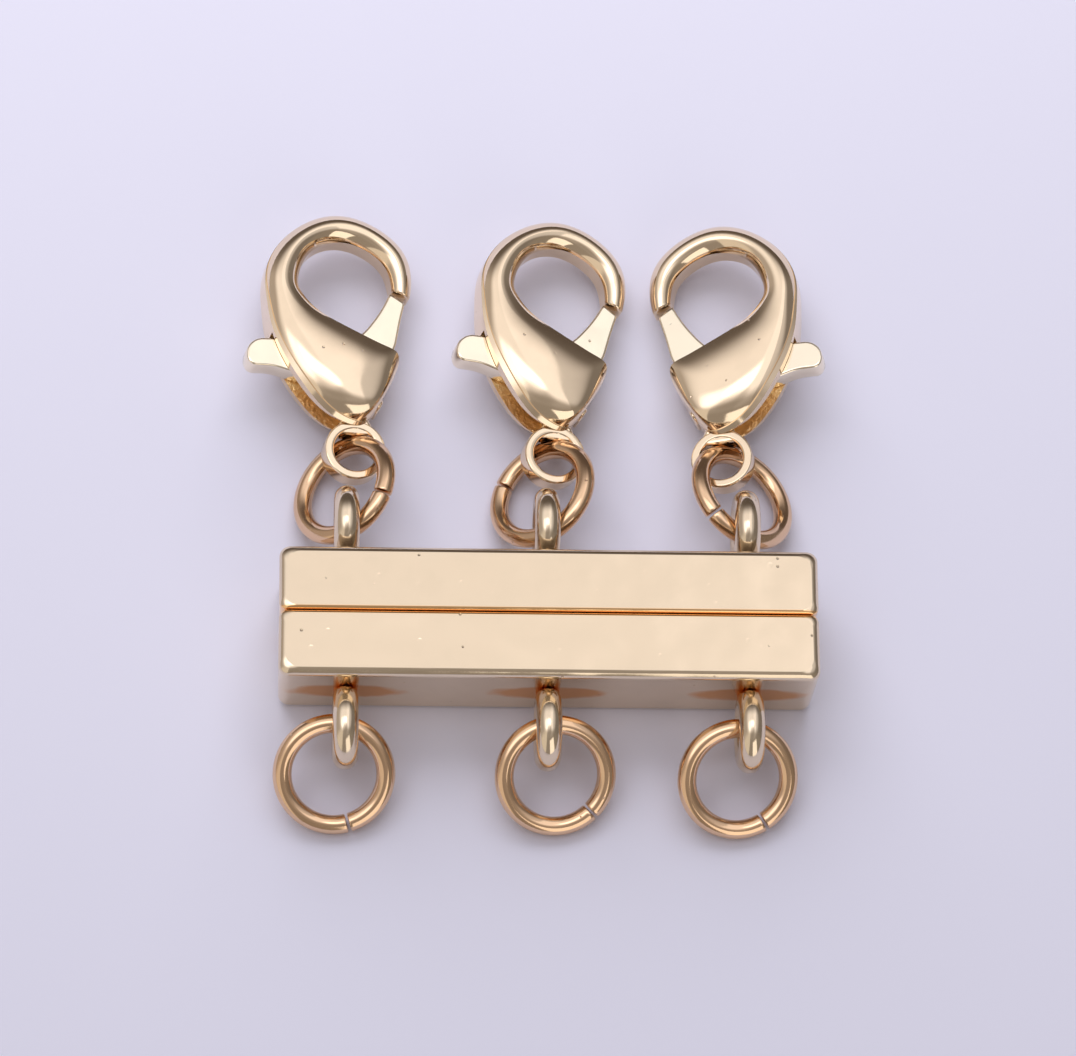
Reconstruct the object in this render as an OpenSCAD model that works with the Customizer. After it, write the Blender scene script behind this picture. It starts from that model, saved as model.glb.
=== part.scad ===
// Magnetic layering clasp: two bars that snap together at a seam, three lobster
// clasps on the upper bar's loops and three plain split rings on the lower bar's.
// The part lies flat on Z = 0. X runs along the bars, Y across the seam, Z up.
// The origin is the middle of the upper bar's underside.

/* [Bars] */
// Length of each bar
bar_length = 22; // [21.5:0.1:23]
// Width of each bar, from the seam to its outer face
bar_width = 2.75; // [2.6:0.05:3.2]
// Height of each bar
bar_height = 4.5; // [4.2:0.1:4.8]
// Gap between the two bars when they are snapped together
seam_gap = 0.04; // [0.02:0.01:0.1]
// Rounding of the bar's outer upright corners
outer_corner = 0.5; // [0.3:0.05:0.6]
// Rounding of the upright corners at the seam
seam_corner = 0.35; // [0.2:0.05:0.5]
// Rounding along the bar's outer long edges and its ends
long_edge = 0.3; // [0.2:0.05:0.4]
// Rounding along the bar's long edges at the seam
seam_edge = 0.1; // [0.05:0.05:0.2]

/* [Magnets] */
// Length of the bar magnet in each half
magnet_length = 20; // [16:0.5:20]
// Height of the magnet
magnet_height = 2.6; // [2:0.1:3]
// Depth of the magnet, across the seam
magnet_depth = 1.4; // [1:0.1:1.6]
// How far the magnet's face lies behind the bar's seam face
magnet_recess = 0.05; // [0.02:0.01:0.1]
// Clearance round the magnet in its pocket
magnet_clearance = 0.05; // [0.02:0.01:0.1]

/* [Loops] */
// Distance between neighbouring loops
loop_pitch = 8.25; // [8:0.05:8.6]
// Radius of a loop at the middle of its wire
loop_radius = 1.2; // [1.15:0.01:1.2]
// Thickness of a loop's wire
loop_wire = 1.06; // [0.9:0.02:1.06]
// Distance from the bar's outer face to a loop's centre
loop_reach = 1.55; // [1.5:0.01:1.58]
// Height of a loop's centre
loop_height = 2.25; // [2.2:0.01:2.3]
// Diameter of the solder collar at a loop's root
collar_d = 1.3; // [1.1:0.1:1.6]
// Height of the solder collar
collar_h = 0.14; // [0.1:0.02:0.2]

/* [Rings] */
// Outer diameter of the split rings
ring_outer = 5; // [4.96:0.01:5.02]
// Thickness of the split rings' wire
ring_wire = 0.78; // [0.7:0.01:0.78]
// Opening of a ring's split, in degrees
ring_split = 3; // [2:0.5:5]

/* [Clasp eye and neck] */
// Outer diameter of the eye
eye_outer = 2.5; // [2.4:0.02:2.52]
// Diameter of the eye's hole
eye_hole = 1.84; // [1.84:0.02:1.9]
// Thickness of the eye
eye_thickness = 0.9; // [0.8:0.02:0.9]
// Rounding of the eye's edges
eye_edge = 0.15; // [0.12:0.01:0.2]
// Width of the neck at its narrowest
neck_width = 1; // [0.8:0.05:1.2]

/* [Clasp lever] */
// Width of the slot that the lever moves in
slot_width = 1.2; // [1.15:0.01:1.3]
// Thickness of the lever
lever_thickness = 1.05; // [0.9:0.01:1.06]
// Diameter of the pivot pin
pin_d = 0.8; // [0.7:0.02:0.84]
// Diameter of the lever's bore
bore_d = 0.86; // [0.86:0.01:0.9]
// Length of the pivot pin
pin_length = 2.14; // [1.8:0.02:2.14]
// Distance of the pivot from the eye's centre, towards the mouth
pivot_x = 0.35; // [0.3:0.01:0.4]
// Distance of the pivot from the eye's centre, towards the hook
pivot_y = 3.75; // [3.7:0.01:3.8]

/* [Hidden] */

round_fn = 64;
corner_steps = 5;
extra = 1;
sink = 0.3;
pin_hole_clearance = 0.02;
pin_hole_spare = 0.03;

upper = 1;
lower = -1;
bar_middle = (seam_gap + bar_width) / 2;
loop_out = seam_gap / 2 + bar_width + loop_reach;
ring_radius = (ring_outer - ring_wire) / 2;

// Places along the bars
LEFT = 0;
MIDDLE = 1;
RIGHT = 2;

// How each link ring lies, seen from its loop's centre:
// x, y, height of its middle, lean to the side, lean to the front, turn of its split
LINK_RINGS = [
    [-0.10, 1.82, 1.72, -37.0, -11.4, 343],
    [-0.13, 1.77, 1.70, -35.8, -12.4, 160],
    [-0.05, 1.75, 1.66, 32.9, -16.4, 215]
];

// How each end ring lies, in the same columns
END_RINGS = [
    [-0.43, -1.75, 1.45, 1.1, 29.5, 287],
    [0.34, -1.72, 1.44, 6.3, 28.4, 318],
    [-0.45, -1.80, 1.44, 6.7, 28.4, 305]
];

// How each clasp lies, seen from its loop's centre:
// x, y and height of its eye, turn, pitch, roll, 1 where the mouth faces left
CLASPS = [
    [0.28, 3.52, 1.56, 0, -0.6, 10.8, 0],
    [0.33, 3.40, 1.61, -5.7, -2.1, 12, 0],
    [-0.81, 3.31, 1.65, 4.1, -2.1, -14.5, 1]
];

// Sections of a clasp's hook and dome, from the hook's tip round to the neck:
// inner x, inner y, outer x, outer y, half thickness, half height of the upright
// wall on the inner side and on the outer side
CLASP_SECTIONS = [
    [1.50, 7.38, 2.31, 7.06, 0.66, 0.38, 0.38],
    [1.36, 8.00, 2.35, 8.08, 0.78, 0.42, 0.42],
    [0.86, 8.72, 1.66, 9.56, 0.84, 0.42, 0.42],
    [-0.52, 9.30, -0.64, 10.55, 0.90, 0.42, 0.42],
    [-1.96, 8.76, -2.86, 9.58, 0.96, 0.42, 0.42],
    [-2.53, 7.52, -3.88, 7.92, 1.02, 0.48, 0.5],
    [-2.42, 6.72, -3.92, 6.48, 1.08, 0.68, 0.66],
    [-1.88, 6.04, -3.74, 5.24, 1.18, 0.84, 0.84],
    [-1.07, 5.50, -3.30, 4.00, 1.30, 0.94, 1],
    [0.09, 4.95, -2.58, 2.78, 1.40, 0.98, 1.08],
    [1.04, 4.55, -1.72, 1.82, 1.42, 0.92, 1.08],
    [1.62, 4.28, -0.84, 1.33, 1.36, 0.86, 1.05],
    [1.72, 3.78, 0.02, 1.20, 1.23, 0.76, 0.95],
    [1.48, 3.02, 0.48, 1.44, 1.02, 0.62, 0.72],
    [1.10, 2.38, 0.78, 1.82, 0.76, 0.5, 0.46]
];
section_steps = 3;
arc_steps = 8;

// Outline of the slot: from the spine above the lever, down the back of the dome,
// along the neck, out of the mouth and back above the lever
SLOT_OUTLINE = [
    [-4.6, 7.9], [-4.6, 4], [-3.4, 2], [-1.6, 0.9], [-0.6, 1.95], [0.35, 2.1],
    [0.8, 2.4], [1.1, 2.85], [1.5, 3.6], [2.2, 4.3], [2.6, 5.3], [0.5, 7],
    [-0.6, 6.4], [-1.1, 5.4], [-1.6, 5], [-3.3, 5], [-3.55, 5.7], [-3.8, 6.9], [-4.05, 7.7]
];

// Outline of the lever: up its nose, down to the pivot and out to the thumb tab
LEVER_OUTLINE = [
    [1.4, 7.14], [1.1, 6.4], [0.26, 5.18], [-0.6, 4.5], [-2, 4.6], [-3.4, 4.68],
    [-4.25, 4.62], [-4.62, 4.26], [-4.68, 3.62], [-4.45, 3.36], [-3.55, 3.42],
    [-2.75, 3.22], [-1.2, 2.88], [0, 2.72], [0.9, 2.9], [1.35, 3.9], [1.66, 4.6],
    [1.9, 6], [2.05, 6.64], [2.04, 6.78]
];

// Neck, from its foot on the eye to its top inside the dome: half width, y
NECK_TAPER = [[1, 0.7], [0.72, 1.1], [0.55, 1.4], [0.5, 1.65], [0.55, 2.3]];
neck_inset = 0.04;

// Quarter of a circle as points, turning anticlockwise
function corner(x, y, radius, start) = [
    for (i = [0 : corner_steps])
        [x + radius * cos(start + 90 * i / corner_steps),
         y + radius * sin(start + 90 * i / corner_steps)]
];

// Rectangle with round corners, whose radii run anticlockwise from the lower left
function rounded_rectangle(low, high, radii) = concat(
    corner(low.x + radii[0], low.y + radii[0], radii[0], 180),
    corner(high.x - radii[1], low.y + radii[1], radii[1], 270),
    corner(high.x - radii[2], high.y - radii[2], radii[2], 0),
    corner(low.x + radii[3], high.y - radii[3], radii[3], 90)
);

// Smooth curve through four rows, from b at t = 0 to c at t = 1
function smooth_row(a, b, c, d, t) = 0.5 * (
    2 * b + (c - a) * t + (2 * a - 5 * b + 4 * c - d) * t * t
    + (3 * b - a - 3 * c + d) * t * t * t
);

// Rows of a table with smooth rows put in between
function smooth_rows(rows, steps) = concat(
    [
        for (i = [0 : len(rows) - 2])
            for (s = [0 : steps - 1])
                smooth_row(
                    rows[max(i - 1, 0)], rows[i], rows[i + 1],
                    rows[min(i + 2, len(rows) - 1)], s / steps
                )
    ],
    [rows[len(rows) - 1]]
);

// Point of a section: an upright wall on each side, joined by half ovals above and
// below. A place is the turn across the section and 1 above or -1 below
function section_point(row, place) = let (
    turn = place[0],
    middle = [row[0] + row[2], row[1] + row[3]] / 2,
    reach = [row[2] - row[0], row[3] - row[1]] / 2,
    wall = cos(turn) < 0 ? row[5] : row[6],
    height = wall + (row[4] - wall) * sin(turn)
) concat(middle + cos(turn) * reach, place[1] * height);

// Places round a section, with both ends of each upright wall
function section_places(steps) = concat(
    [for (k = [0 : steps]) [180 * k / steps, 1]],
    [for (k = [0 : steps]) [180 - 180 * k / steps, -1]]
);

// Closed skin through a table of sections
module skin(sections, places) {
    last = len(sections) - 1;
    sides = len(places);
    points = [for (row = sections) for (place = places) section_point(row, place)];
    walls = [
        for (i = [0 : last - 1])
            for (k = [0 : sides - 1])
                let (
                    here = i * sides + k,
                    next = i * sides + (k + 1) % sides
                )
                    each [
                        [here, next, next + sides],
                        [here, next + sides, here + sides]
                    ]
    ];
    first_cap = [for (k = [0 : sides - 1]) sides - 1 - k];
    last_cap = [for (k = [0 : sides - 1]) last * sides + k];
    polyhedron(points = points, faces = concat(walls, [first_cap, last_cap]));
}

// Moves to the middle of a half's seam face, with its outer side towards +Y
module on_half(side) {
    translate([0, side * seam_gap / 2 - bar_middle, 0])
        rotate([0, 0, side == upper ? 0 : 180])
            children();
}

// Moves to the centre of a loop, at table height
module at_loop(side, place) {
    translate([(place - MIDDLE) * loop_pitch, side * loop_out - bar_middle, 0])
        children();
}

// Plain bar with rounded corners, lying along X
module bar_block() {
    plan = rounded_rectangle(
        [-bar_length / 2, 0], [bar_length / 2, bar_width],
        [seam_corner, seam_corner, outer_corner, outer_corner]
    );
    end_view = rounded_rectangle(
        [0, 0], [bar_width, bar_height], [seam_edge, long_edge, long_edge, seam_edge]
    );
    front_view = rounded_rectangle(
        [-bar_length / 2, 0], [bar_length / 2, bar_height],
        [long_edge, long_edge, long_edge, long_edge]
    );
    intersection() {
        translate([0, 0, -extra])
            linear_extrude(bar_height + 2 * extra)
                polygon(plan);
        translate([-bar_length / 2 - extra, 0, 0])
            rotate([90, 0, 90])
                linear_extrude(bar_length + 2 * extra)
                    polygon(end_view);
        translate([0, bar_width + extra, 0])
            rotate([90, 0, 0])
                linear_extrude(bar_width + 2 * extra)
                    polygon(front_view);
    }
}

// Round wire loop that stands upright on the bar's outer face, with its solder collar
module soldered_loop() {
    translate([0, bar_width + loop_reach, loop_height])
        rotate([0, 90, 0])
            rotate_extrude($fn = round_fn)
                translate([loop_radius, 0])
                    circle(d = loop_wire, $fn = round_fn / 2);
    translate([0, bar_width - sink, loop_height])
        rotate([-90, 0, 0])
            cylinder(d = collar_d, h = sink + collar_h, $fn = round_fn);
}

// One half: bar, three loops and the pocket for its magnet
module half_bar() {
    color("#e3c58e")
        difference() {
            union() {
                bar_block();
                for (place = [LEFT : RIGHT])
                    translate([(place - MIDDLE) * loop_pitch, 0, 0])
                        soldered_loop();
            }
            translate([
                -magnet_length / 2 - magnet_clearance, -extra,
                (bar_height - magnet_height) / 2 - magnet_clearance
            ])
                cube([
                    magnet_length + 2 * magnet_clearance,
                    extra + magnet_recess + magnet_depth + magnet_clearance,
                    magnet_height + 2 * magnet_clearance
                ]);
        }
}

// Bar magnet in its pocket
module magnet() {
    color("#c9c9cc")
        translate([-magnet_length / 2, magnet_recess, (bar_height - magnet_height) / 2])
            cube([magnet_length, magnet_depth, magnet_height]);
}

// Split ring, laid out by a row of its table
module split_ring(row) {
    color("#d8a860")
        translate([row[0], row[1], row[2]])
            rotate([row[4], row[3], 0])
                rotate([0, 0, row[5] + ring_split / 2])
                    rotate_extrude(angle = 360 - ring_split, $fn = round_fn)
                        translate([ring_radius, 0])
                            circle(d = ring_wire, $fn = round_fn / 2);
}

// Flat eye at the clasp's foot, with rounded edges
module eye() {
    rotate_extrude($fn = round_fn)
        polygon(rounded_rectangle(
            [eye_hole / 2, -eye_thickness / 2], [eye_outer / 2, eye_thickness / 2],
            [eye_edge, eye_edge, eye_edge, eye_edge]
        ));
}

// Flat neck between the eye and the dome
module neck() {
    thickness = eye_thickness - 2 * neck_inset;
    taper = [for (row = NECK_TAPER) [row[0] * neck_width, row[1]]];
    right_side = taper;
    left_side = [for (i = [len(taper) - 1 : -1 : 0]) [-taper[i].x, taper[i].y]];
    difference() {
        translate([0, 0, -thickness / 2])
            linear_extrude(thickness)
                polygon(concat(right_side, left_side));
        translate([0, 0, -thickness])
            cylinder(d = (eye_hole + eye_outer) / 2, h = 2 * thickness, $fn = round_fn);
    }
}

// Hook, dome, neck and eye in one casting, slotted for the lever
module clasp_body() {
    hole_d = pin_d + 2 * pin_hole_clearance;
    hole_length = pin_length + 2 * pin_hole_spare;
    color("#e6c993")
        difference() {
            union() {
                skin(smooth_rows(CLASP_SECTIONS, section_steps), section_places(arc_steps));
                eye();
                neck();
            }
            translate([0, 0, -slot_width / 2])
                linear_extrude(slot_width)
                    polygon(SLOT_OUTLINE);
            translate([pivot_x, pivot_y, -hole_length / 2])
                cylinder(d = hole_d, h = hole_length, $fn = round_fn);
        }
}

// Flat lever with its nose, its bore and its thumb tab
module clasp_lever() {
    color("#ead2a2")
        difference() {
            translate([0, 0, -lever_thickness / 2])
                linear_extrude(lever_thickness)
                    polygon(LEVER_OUTLINE);
            translate([pivot_x, pivot_y, -lever_thickness])
                cylinder(d = bore_d, h = 2 * lever_thickness, $fn = round_fn);
        }
}

// Pin that the lever turns on
module pivot_pin() {
    color("#c8a56a")
        translate([pivot_x, pivot_y, -pin_length / 2])
            cylinder(d = pin_d, h = pin_length, $fn = round_fn);
}

// Moves to a clasp's eye and turns the clasp as it lies
module lay_clasp(place) {
    row = CLASPS[place];
    at_loop(upper, place)
        translate([row[0], row[1], row[2]])
            rotate([0, 0, row[3]])
                rotate([row[4], 0, 0])
                    rotate([0, row[5], 0])
                        mirror([row[6], 0, 0])
                            children();
}

on_half(upper) half_bar();  // upper_bar
on_half(lower) half_bar();  // lower_bar
on_half(upper) magnet();  // upper_magnet
on_half(lower) magnet();  // lower_magnet

at_loop(upper, LEFT) split_ring(LINK_RINGS[LEFT]);  // link_ring_left
at_loop(upper, MIDDLE) split_ring(LINK_RINGS[MIDDLE]);  // link_ring_middle
at_loop(upper, RIGHT) split_ring(LINK_RINGS[RIGHT]);  // link_ring_right

at_loop(lower, LEFT) split_ring(END_RINGS[LEFT]);  // end_ring_left
at_loop(lower, MIDDLE) split_ring(END_RINGS[MIDDLE]);  // end_ring_middle
at_loop(lower, RIGHT) split_ring(END_RINGS[RIGHT]);  // end_ring_right

lay_clasp(LEFT) clasp_body();  // clasp_body_left
lay_clasp(MIDDLE) clasp_body();  // clasp_body_middle
lay_clasp(RIGHT) clasp_body();  // clasp_body_right

lay_clasp(LEFT) clasp_lever();  // clasp_lever_left
lay_clasp(MIDDLE) clasp_lever();  // clasp_lever_middle
lay_clasp(RIGHT) clasp_lever();  // clasp_lever_right

lay_clasp(LEFT) pivot_pin();  // pivot_pin_left
lay_clasp(MIDDLE) pivot_pin();  // pivot_pin_middle
lay_clasp(RIGHT) pivot_pin();  // pivot_pin_right
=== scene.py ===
"""Magnetic layering clasp: two magnetic bars, three lobster clasps and six split rings."""

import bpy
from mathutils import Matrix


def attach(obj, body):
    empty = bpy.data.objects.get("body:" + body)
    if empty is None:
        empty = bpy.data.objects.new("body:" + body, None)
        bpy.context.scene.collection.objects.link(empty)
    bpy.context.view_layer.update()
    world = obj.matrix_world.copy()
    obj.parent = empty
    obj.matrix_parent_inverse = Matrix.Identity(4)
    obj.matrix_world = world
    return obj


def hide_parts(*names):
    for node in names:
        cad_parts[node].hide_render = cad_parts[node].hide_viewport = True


bl_info = {
    "name": "Magnetic layering clasp",
    "version": (1, 0, 0),
    "blender": (4, 5, 0),
    "location": "View3D > Sidebar > Layering Clasp",
    "description": "Dresses the layering clasp's frame with finished gold pieces",
    "category": "Object",
}

import math
from math import cos, radians, sin

import bmesh
import bpy
import numpy as np
from bpy.props import FloatProperty, FloatVectorProperty, PointerProperty
from mathutils import Matrix, Vector

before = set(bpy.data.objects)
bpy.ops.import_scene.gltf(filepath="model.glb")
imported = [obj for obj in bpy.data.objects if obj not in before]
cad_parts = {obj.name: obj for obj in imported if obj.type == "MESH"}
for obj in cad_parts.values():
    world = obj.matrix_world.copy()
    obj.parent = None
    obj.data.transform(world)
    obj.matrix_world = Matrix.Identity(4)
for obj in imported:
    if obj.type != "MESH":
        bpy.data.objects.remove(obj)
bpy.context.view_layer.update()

# One millimetre in metres: pieces are modelled in millimetres and shrunk at the end
MM = 0.001

SIDES = ("left", "middle", "right")
UPPER = 1
LOWER = -1

# How each link ring lies, seen from its loop's centre, in millimetres and degrees:
# x, y, height of its middle, lean to the side, lean to the front, turn of its split
LINK_RINGS = (
    (-0.10, 1.82, 1.72, -37.0, -11.4, 343),
    (-0.13, 1.77, 1.70, -35.8, -12.4, 160),
    (-0.05, 1.75, 1.66, 32.9, -16.4, 215),
)

# How each end ring lies, in the same columns
END_RINGS = (
    (-0.43, -1.75, 1.45, 1.1, 29.5, 287),
    (0.34, -1.72, 1.44, 6.3, 28.4, 318),
    (-0.45, -1.80, 1.44, 6.7, 28.4, 305),
)

# How each clasp lies, seen from its loop's centre:
# x, y and height of its eye, turn, pitch, roll, 1 where the mouth faces left
CLASPS = (
    (0.28, 3.52, 1.56, 0, -0.6, 10.8, 0),
    (0.33, 3.40, 1.61, -5.7, -2.1, 12, 0),
    (-0.81, 3.31, 1.65, 4.1, -2.1, -14.5, 1),
)

# Dents in the bars' tops: x, y, radius
BAR_DENTS = (
    (9.01, 0.69, 0.14), (-5.37, -0.30, 0.10), (6.49, -0.20, 0.08), (6.77, -0.97, 0.07),
    (5.42, -0.90, 0.06), (-3.62, -0.19, 0.08), (-6.95, 0.07, 0.11), (-2.32, -0.65, 0.06),
    (3.89, 0.37, 0.07), (1.92, -0.47, 0.06), (-9.68, -3.05, 0.12), (-9.00, -2.31, 0.10),
    (8.04, -2.55, 0.09), (0.39, -3.06, 0.07), (-5.28, -2.70, 0.10), (4.45, -3.23, 0.08),
)

# Sections of a clasp's hook and dome, from the hook's tip round to the neck:
# inner x, inner y, outer x, outer y, half thickness, half heights of the inner
# and outer walls, width of the outer rim, how far the lower shell stands further out
CLASP_SECTIONS = (
    (1.50, 7.38, 2.31, 7.06, 0.66, 0.38, 0.38, 0.00, 0.00),
    (1.36, 8.00, 2.35, 8.08, 0.78, 0.42, 0.42, 0.00, 0.00),
    (0.86, 8.72, 1.66, 9.56, 0.84, 0.42, 0.42, 0.00, 0.00),
    (-0.52, 9.30, -0.64, 10.55, 0.90, 0.42, 0.42, 0.00, 0.00),
    (-1.96, 8.76, -2.86, 9.58, 0.96, 0.42, 0.42, 0.00, 0.00),
    (-2.53, 7.52, -3.88, 7.92, 1.02, 0.60, 0.48, 0.03, 0.00),
    (-2.42, 6.72, -3.92, 6.48, 1.08, 0.80, 0.62, 0.08, 0.00),
    (-1.88, 6.04, -3.74, 5.24, 1.18, 0.92, 0.76, 0.13, 0.00),
    (-1.07, 5.50, -3.30, 4.00, 1.30, 1.02, 0.90, 0.17, 0.00),
    (0.09, 4.95, -2.58, 2.78, 1.40, 1.06, 0.96, 0.19, 0.00),
    (1.04, 4.55, -1.74, 1.78, 1.42, 1.05, 0.86, 0.19, 0.00),
    (1.62, 4.28, -0.88, 1.22, 1.36, 1.00, 0.66, 0.18, 0.02),
    (1.72, 3.78, 0.02, 1.04, 1.22, 0.78, 0.50, 0.14, 0.02),
    (1.48, 3.02, 0.50, 1.30, 1.00, 0.56, 0.42, 0.06, 0.00),
    (1.12, 2.34, 0.82, 1.70, 0.72, 0.40, 0.36, 0.00, 0.00),
)

# Rows of skin to each section, points over its top, and how the two ends are rounded:
# how far they reach out and in how many rows
ROWS_PER_SECTION = 10
ARC_STEPS = 26
TIP_ROUND = 0.12
TOE_ROUND = 0.10
END_STEPS = 4

# Half width of the slot, and the least wall that stays beside it
SLOT_HALF = 0.57
LIP = 0.08
MOUTH_LIP = 0.01

# Where the oval over a section starts, in degrees, how steeply its rim rises, how far
# the back's wall leans in as it rises, and how far the rim shifts the crest to the back
ARC_START = 52
RIM_RISE = 0.7
WALL_LEAN = 0.06
CREST_SHIFT = 0.45

# Depth of the groove along the rim for each millimetre of the rim's width, and how much
# fuller than an oval the dome is towards the mouth
GROOVE = 0.2
MOUTH_FULL = 0.6

# Rows of the finished skin where the slot opens, on the back and in the mouth
SLOT_BACK = (73, 118)
SLOT_MOUTH = (84, 112)

# Points that the slot's floor bends through, from the back to the mouth
SLOT_FLOOR = ((0.35, 2.10), (0.80, 2.40), (1.10, 2.85), (1.50, 3.60))

# Outline of the lever: up its nose, down to the pivot and out to the thumb tab:
# x, y, how much the corner is rounded
LEVER_OUTLINE = (
    (1.40, 7.14, 0.00), (1.10, 6.40, 0.60), (0.26, 5.18, 0.50), (-0.60, 4.50, 0.45),
    (-2.00, 4.60, 0.30), (-3.40, 4.68, 0.30), (-4.25, 4.62, 0.22), (-4.62, 4.26, 0.20),
    (-4.68, 3.70, 0.20), (-4.44, 3.38, 0.18), (-3.55, 3.42, 0.30), (-2.75, 3.22, 0.30),
    (-1.20, 2.88, 0.40), (0.00, 2.72, 0.40), (0.75, 3.00, 0.30), (1.20, 3.90, 0.35),
    (1.66, 4.60, 0.35), (1.90, 6.00, 0.40), (2.05, 6.64, 0.05), (2.04, 6.78, 0.00),
)


# How soft the lever's edges are, and the thickness of a clasp's eye
LEVER_EDGE = 0.1
EYE_THICKNESS = 0.9

# Neck, from its foot on the eye to its top inside the dome: half width, y
NECK_TAPER = ((1.00, 0.70), (0.72, 1.10), (0.55, 1.40), (0.50, 1.65), (0.55, 2.30))

# Where the neck starts to grow thicker, and by what share over the next millimetre
NECK_FLARE_START = 1.15
NECK_FLARE = 0.7

# Narrow strip round a flat face, which keeps the face's shading flat, and how close two
# points lie that become one
FLAT_EDGE = 0.02
MERGE = 0.0004

# Half the floor's side, in metres
FLOOR_HALF = 1.5

# Cells per metre of the platings' patterns: waves from polishing, grain, clouds and pits
WAVE_SCALE = 420
GRAIN_SCALE = 5200
CLOUD_SCALE = 900
PIT_SCALE = 1500

# Depth of pits and dents, and how dull and dark the clouds make the plating
PIT_DEPTH = 0.03
CLOUD_ROUGHNESS = 0.05
CLOUD_SHADE = 0.90
CLOUD_SHARE = 0.35


class ClaspSizes(bpy.types.PropertyGroup):
    """Sizes of the clasp's pieces, as in its CAD model."""

    bar_length: FloatProperty(
        name="Bar length", description="Length of each bar",
        default=0.022, unit="LENGTH", subtype="DISTANCE", precision=4,
    )
    bar_width: FloatProperty(
        name="Bar width", description="Width of each bar, from the seam to its outer face",
        default=0.00275, unit="LENGTH", subtype="DISTANCE", precision=5,
    )
    bar_height: FloatProperty(
        name="Bar height", description="Height of each bar",
        default=0.0045, unit="LENGTH", subtype="DISTANCE", precision=5,
    )
    seam_gap: FloatProperty(
        name="Seam gap", description="Gap between the two bars when they are snapped together",
        default=0.00004, unit="LENGTH", subtype="DISTANCE", precision=6,
    )
    loop_pitch: FloatProperty(
        name="Loop pitch", description="Distance between neighbouring loops",
        default=0.00825, unit="LENGTH", subtype="DISTANCE", precision=5,
    )
    loop_reach: FloatProperty(
        name="Loop reach", description="Distance from the bar's outer face to a loop's centre",
        default=0.00155, unit="LENGTH", subtype="DISTANCE", precision=5,
    )
    loop_height: FloatProperty(
        name="Loop height", description="Height of a loop's centre",
        default=0.00225, unit="LENGTH", subtype="DISTANCE", precision=5,
    )
    ring_outer: FloatProperty(
        name="Ring diameter", description="Outer diameter of the split rings",
        default=0.005, unit="LENGTH", subtype="DISTANCE", precision=5,
    )
    ring_wire: FloatProperty(
        name="Ring wire", description="Thickness of the split rings' wire",
        default=0.00078, unit="LENGTH", subtype="DISTANCE", precision=5,
    )
    eye_outer: FloatProperty(
        name="Eye diameter", description="Outer diameter of a clasp's eye",
        default=0.0026, unit="LENGTH", subtype="DISTANCE", precision=5,
    )
    eye_hole: FloatProperty(
        name="Eye hole", description="Diameter of the hole in a clasp's eye",
        default=0.00184, unit="LENGTH", subtype="DISTANCE", precision=5,
    )
    lever_thickness: FloatProperty(
        name="Lever thickness", description="Thickness of the lever",
        default=0.00105, unit="LENGTH", subtype="DISTANCE", precision=5,
    )


class ClaspColours(bpy.types.PropertyGroup):
    """Colours of the clasp's finishes and of the stage."""

    bar: FloatVectorProperty(
        name="Bars", description="Gold of the two bars and their loops",
        default=(0.79, 0.65, 0.485), subtype="COLOR", min=0, max=1,
    )
    clasp: FloatVectorProperty(
        name="Clasp bodies", description="Gold of the clasps' castings",
        default=(0.88, 0.71, 0.52), subtype="COLOR", min=0, max=1,
    )
    # The slots' gold is painted brighter and more orange than the bodies' gold, to make up for the
    # shade inside the slots
    slot: FloatVectorProperty(
        name="Clasp slots", description="Duller gold inside the clasps' slots",
        default=(1.0, 0.72, 0.38), subtype="COLOR", min=0, max=1,
    )
    lever: FloatVectorProperty(
        name="Levers", description="Gold of the levers",
        default=(0.95, 0.84, 0.67), subtype="COLOR", min=0, max=1,
    )
    ring: FloatVectorProperty(
        name="Rings", description="Gold of the split rings",
        default=(0.78, 0.53, 0.34), subtype="COLOR", min=0, max=1,
    )
    magnet: FloatVectorProperty(
        name="Magnets", description="Nickel plating of the magnets",
        default=(0.62, 0.61, 0.60), subtype="COLOR", min=0, max=1,
    )
    floor: FloatVectorProperty(
        name="Floor", description="Pale floor under the clasp",
        default=(0.83, 0.835, 1.0), subtype="COLOR", min=0, max=1,
    )


def sizes():
    """The scene's sizes in millimetres, by name."""
    group = bpy.context.scene.layering_clasp_sizes
    return {name: getattr(group, name) / MM for name in group.__annotations__}


def colours():
    return bpy.context.scene.layering_clasp_colours


class Sock:
    """A node's output that takes part in Python sums and adds the Math nodes for them."""

    def __init__(self, shader, socket):
        self.shader = shader
        self.socket = socket

    def math(self, operation, *values):
        return self.shader.node("ShaderNodeMath", {"operation": operation}, dict(enumerate(values)))

    def __add__(self, other):
        return self.math("ADD", self, other)

    def __sub__(self, other):
        return self.math("SUBTRACT", self, other)

    def __mul__(self, other):
        return self.math("MULTIPLY", self, other)

    def __rsub__(self, other):
        return self.math("SUBTRACT", other, self)

    def between(self, low, high):
        """0 below low, 1 above high and smooth between them."""
        return self.shader.node(
            "ShaderNodeMapRange", {"interpolation_type": "SMOOTHSTEP"},
            {"Value": self, "From Min": low, "From Max": high},
        )


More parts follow.
